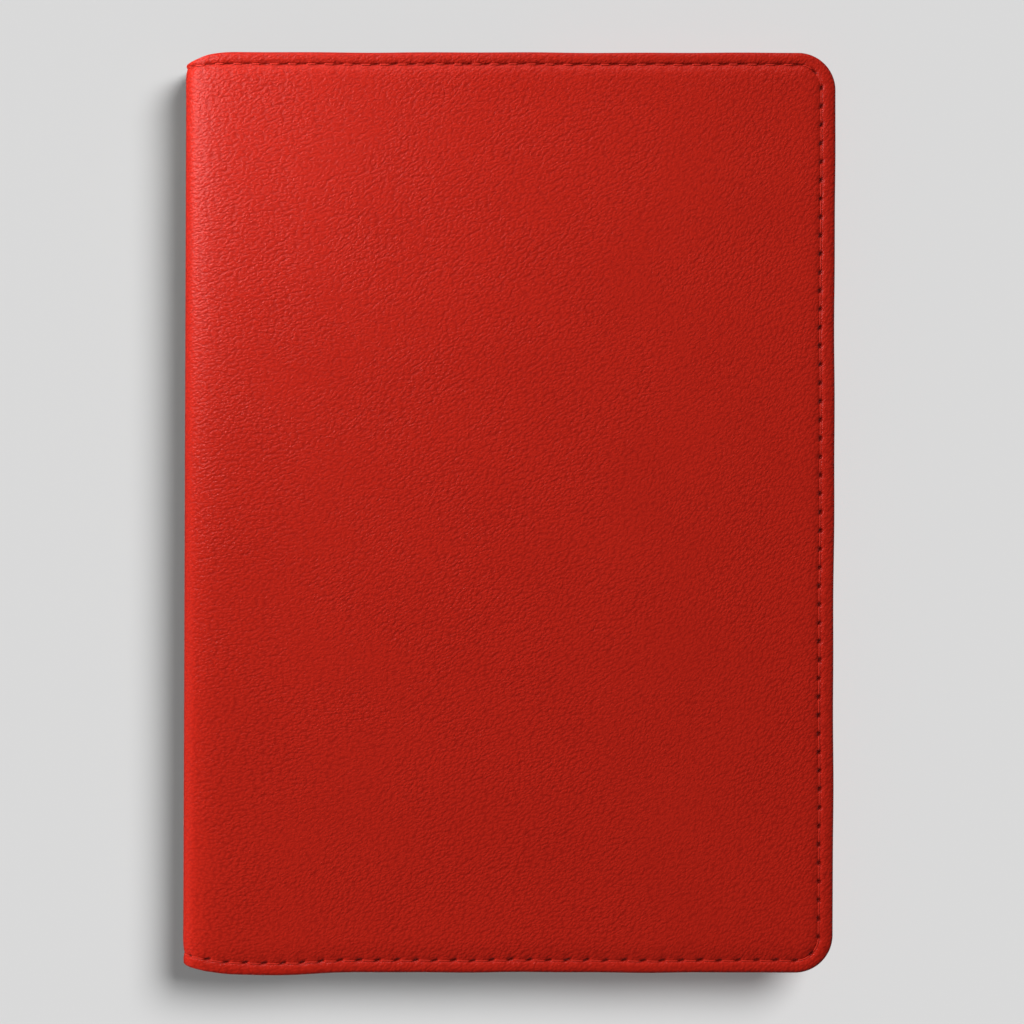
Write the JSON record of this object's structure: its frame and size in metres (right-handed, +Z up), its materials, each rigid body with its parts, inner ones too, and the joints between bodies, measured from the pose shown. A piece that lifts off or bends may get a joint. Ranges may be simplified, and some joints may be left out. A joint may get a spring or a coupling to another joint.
{
  "type": "leather notebook cover",
  "caption": "Closed slip-on leather cover for an A5 notebook, with a soft folded spine, round fore-edge corners, a sewn edge and a slip pocket inside each side.",
  "frame": {"origin": "centre of the closed cover's footprint, on the surface that the back of the cover lies on", "axes": "+Z up through the closed cover from back to front, +Y to the head, +X to the fore-edge, so the spine is at -X"},
  "size_m": [0.1554, 0.22, 0.016],
  "materials": {
    "cover_leather": "bright red pebbled full-grain leather, semi-matt",
    "pocket_leather": "red leather with a finer grain, semi-matt",
    "lining": "dark red twill-woven lining",
    "board": "grey-brown stiffening board",
    "thread": "waxed red sewing thread"
  },
  "bodies": {
    "back_cover": {"back_leather": "cover_leather", "back_board": "board", "back_lining": "lining", "back_pocket": "pocket_leather", "back_pocket_edge": "pocket_leather", "back_needle_thread": "thread", "back_bobbin_thread": "thread", "back_pocket_hem_thread": "thread"},
    "spine": {"back_fold_leather": "cover_leather", "back_fold_lining": "lining", "back_fold_thread": "thread", "spine_leather": "cover_leather", "spine_board": "board", "spine_lining": "lining", "spine_needle_thread": "thread", "spine_bobbin_thread": "thread", "front_fold_leather": "cover_leather", "front_fold_lining": "lining", "front_fold_thread": "thread"},
    "front_cover": {"front_leather": "cover_leather", "front_board": "board", "front_lining": "lining", "front_pocket": "pocket_leather", "front_pocket_edge": "pocket_leather", "front_needle_thread": "thread", "front_bobbin_thread": "thread", "front_pocket_hem_thread": "thread"}
  },
  "joints": [
    {"name": "back_fold", "type": "hinge", "parent": "back_cover", "child": "spine", "pos_m": [-0.07602, 0, 0.00173], "axis": [0, -1, 0], "range_deg": [0, 90], "deforming": ["back_fold_leather", "back_fold_lining", "back_fold_thread"]},
    {"name": "front_fold", "type": "hinge", "parent": "spine", "child": "front_cover", "pos_m": [-0.07602, 0, 0.01427], "axis": [0, -1, 0], "range_deg": [0, 90], "deforming": ["front_fold_leather", "front_fold_lining", "front_fold_thread"]}
  ]
}
